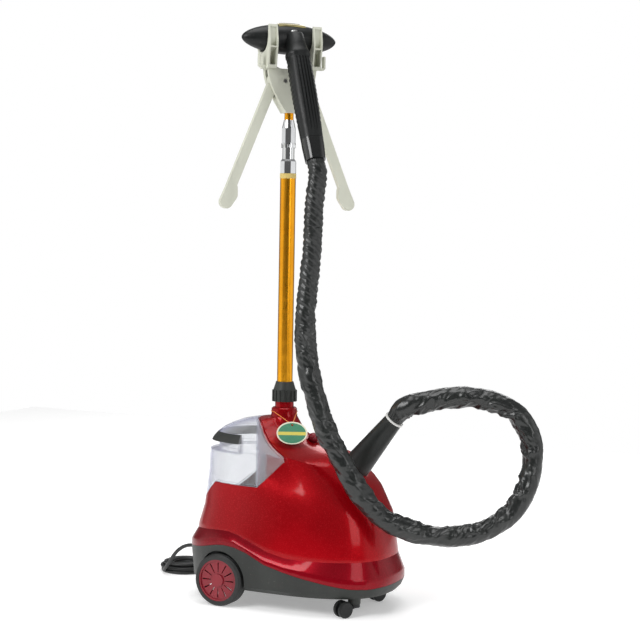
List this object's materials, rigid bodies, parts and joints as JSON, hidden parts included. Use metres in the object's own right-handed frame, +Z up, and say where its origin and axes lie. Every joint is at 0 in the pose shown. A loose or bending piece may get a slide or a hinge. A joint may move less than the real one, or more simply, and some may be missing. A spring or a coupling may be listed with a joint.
{
  "type": "garment steamer",
  "caption": "Upright garment steamer: wheeled red body with a clear lift-off water tank, telescopic pole with hanger arms, cradled steam head and a looped steam hose.",
  "frame": {"origin": "on the floor under the middle of the body, the hose and the mains lead left out", "axes": "+X towards the hose connector and the casters, +Y to the left side, +Z up"},
  "size_m": [0.69, 0.2529, 0.9233],
  "materials": {
    "pan": "satin moulded",
    "pearl_red": "pearl metallic lacquer",
    "red_plastic": "satin",
    "gold_tube": "gold anodised, satin",
    "gold_trim": "metallised",
    "chrome": "polished",
    "steel": "bright",
    "aluminium": "satin",
    "clear_tank": "clear, polished",
    "white_plastic": "satin",
    "dark_plastic": "satin",
    "valve_rubber": "matt",
    "head_plastic": "satin moulded",
    "black_plastic": "satin moulded",
    "gloss_black": "gloss",
    "hose_fabric": "satin woven sleeve",
    "cord_rubber": "matt",
    "tag_card": "coated card",
    "elastic": "woven elastic",
    "tyre": "matt",
    "caster_plastic": "satin"
  },
  "bodies": {
    "base": {"base_pan": "pan", "skirt": "pearl_red", "upper_housing": "pearl_red", "tank_bay": "pearl_red", "pole_socket": "pearl_red", "outer_tube": "gold_tube", "tube_bush": "white_plastic", "wheel_axle": "steel", "boiler": "steel", "thermostat": "dark_plastic", "feed_tube": "white_plastic", "steam_pipe": "steel", "hose_connector": "dark_plastic", "connector_ring": "white_plastic", "switch_block": "dark_plastic", "cord_gland": "cord_rubber", "base_screws": "steel", "hang_tag": "tag_card", "tag_string": "elastic", "hose_lower": "hose_fabric", "power_cord": "cord_rubber", "cord_coil": "cord_rubber", "plug": "cord_rubber"},
    "pole_collar": {"pole_collar": "pan"},
    "lower_nut": {"lower_lock_nut": "chrome"},
    "mid_pole": {"mid_tube": "chrome", "mid_lock_body": "chrome"},
    "upper_nut": {"upper_lock_nut": "chrome"},
    "pole_head": {"top_tube": "gold_tube", "head_front": "head_plastic", "head_back": "head_plastic", "cradle_left": "head_plastic", "cradle_right": "head_plastic", "head_screws": "steel"},
    "arm_left": {"hanger_arm_left": "head_plastic"},
    "arm_right": {"hanger_arm_right": "head_plastic"},
    "steam_head": {"nozzle_housing": "black_plastic", "steam_plate": "aluminium", "nozzle_trim": "gold_trim", "brush_strip": "black_plastic", "handle_front": "black_plastic", "handle_back": "black_plastic", "handle_cap": "gloss_black", "handle_pipe": "steel", "handle_screws": "steel", "hose_upper": "hose_fabric"},
    "tank": {"water_tank": "clear_tank", "tank_cover": "clear_tank", "tank_handle": "pan"},
    "tank_cap": {"tank_cap": "dark_plastic"},
    "valve_pin": {"valve_pin": "valve_rubber"},
    "power_knob": {"power_knob": "red_plastic"},
    "rear_wheel_left": {"tyre_left": "tyre", "wheel_left": "red_plastic"},
    "rear_wheel_right": {"tyre_right": "tyre", "wheel_right": "red_plastic"},
    "caster_left": {"caster_fork_left": "caster_plastic"},
    "caster_right": {"caster_fork_right": "caster_plastic"},
    "caster_wheels_left": {"caster_wheels_left": "caster_plastic"},
    "caster_wheels_right": {"caster_wheels_right": "caster_plastic"}
  },
  "joints": [
    {"name": "top_slide", "type": "slide", "parent": "base", "child": "pole_head", "axis": [0, 0, 1], "range_m": [0, 0.56]},
    {"name": "mid_slide", "type": "slide", "parent": "base", "child": "mid_pole", "axis": [0, 0, 1], "range_m": [0, 0.28]},
    {"name": "collar_turn", "type": "hinge", "parent": "base", "child": "pole_collar", "pos_m": [-0.028, 0, 0.33], "axis": [0, 0, 1], "range_deg": [0, 180]},
    {"name": "lower_nut_turn", "type": "hinge", "parent": "base", "child": "lower_nut", "pos_m": [-0.028, 0, 0.695], "axis": [0, 0, 1], "range_deg": [0, 180]},
    {"name": "upper_nut_turn", "type": "hinge", "parent": "mid_pole", "child": "upper_nut", "pos_m": [-0.028, 0, 0.745], "axis": [0, 0, 1], "range_deg": [0, 180]},
    {"name": "arm_left_lift", "type": "hinge", "parent": "pole_head", "child": "arm_left", "pos_m": [-0.01064, 0.02068, 0.8323], "axis": [0.766, -0.6428, 0], "range_deg": [0, 50]},
    {"name": "arm_right_lift", "type": "hinge", "parent": "pole_head", "child": "arm_right", "pos_m": [-0.04536, -0.02068, 0.8323], "axis": [-0.766, 0.6428, 0], "range_deg": [0, 50]},
    {"name": "steam_head_lift", "type": "slide", "parent": "pole_head", "child": "steam_head", "axis": [0, 0, 1], "range_m": [0, 0.12]},
    {"name": "tank_lift", "type": "slide", "parent": "base", "child": "tank", "axis": [0, 0, 1], "range_m": [0, 0.12]},
    {"name": "cap_turn", "type": "hinge", "parent": "tank", "child": "tank_cap", "pos_m": [-0.105, 0, 0.147], "axis": [0, 0, 1], "range_deg": [0, 270]},
    {"name": "valve_push", "type": "slide", "parent": "tank_cap", "child": "valve_pin", "axis": [0, 0, 1], "range_m": [0, 0.002], "stiffness_N_per_m": 120},
    {"name": "knob_turn", "type": "hinge", "parent": "base", "child": "power_knob", "pos_m": [0.0255, 0, 0.262], "axis": [0, 0, -1], "range_deg": [0, 90]},
    {"name": "rear_wheel_left_spin", "type": "hinge", "parent": "base", "child": "rear_wheel_left", "pos_m": [-0.082, 0.105, 0.041], "axis": [0, 1, 0], "continuous": true},
    {"name": "rear_wheel_right_spin", "type": "hinge", "parent": "base", "child": "rear_wheel_right", "pos_m": [-0.082, -0.105, 0.041], "axis": [0, 1, 0], "continuous": true},
    {"name": "caster_left_swivel", "type": "hinge", "parent": "base", "child": "caster_left", "pos_m": [0.132, 0.064, 0.02], "axis": [0, 0, 1], "continuous": true},
    {"name": "caster_right_swivel", "type": "hinge", "parent": "base", "child": "caster_right", "pos_m": [0.132, -0.064, 0.02], "axis": [0, 0, 1], "continuous": true},
    {"name": "caster_left_spin", "type": "hinge", "parent": "caster_left", "child": "caster_wheels_left", "pos_m": [0.12182, 0.04563, 0.013], "axis": [-0.8746, 0.4848, 0], "continuous": true},
    {"name": "caster_right_spin", "type": "hinge", "parent": "caster_right", "child": "caster_wheels_right", "pos_m": [0.12182, -0.08237, 0.013], "axis": [-0.8746, 0.4848, 0], "continuous": true}
  ],
  "couplings": [
    {"joint": "mid_slide", "follows": "top_slide", "ratio": 0.5}
  ]
}
